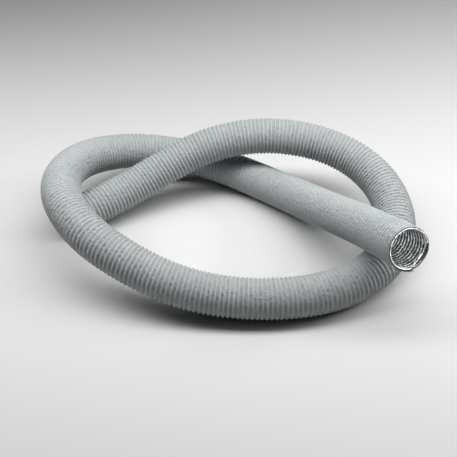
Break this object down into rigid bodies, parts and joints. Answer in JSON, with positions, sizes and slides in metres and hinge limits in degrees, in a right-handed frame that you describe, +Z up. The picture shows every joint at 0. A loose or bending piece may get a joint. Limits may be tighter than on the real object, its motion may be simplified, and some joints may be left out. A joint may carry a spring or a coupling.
{
  "type": "flexible air duct",
  "caption": "Ribbed flexible air duct with a coated cover, a spring-wire helix and a foil liner, cut bare at both ends and lying in a loose knot.",
  "frame": {"origin": "on the floor, under the middle of the knot that the duct lies in", "axes": "+X to the right along the knot's longest side, +Z up, and the open mouth at the right faces towards -Y"},
  "size_m": [0.837, 0.5915, 0.2333],
  "materials": {
    "cover": "grey coated fabric strip, matt",
    "foil": "crinkled bright foil laminate",
    "wire": "drawn spring steel"
  },
  "bodies": {
    "root": {"mouth_liner": "foil", "mouth_cover": "cover", "run_liner": "foil", "run_cover": "cover", "spring_wire": "wire", "far_liner": "foil", "far_cover": "cover", "strip_end": "cover"}
  },
  "joints": []
}
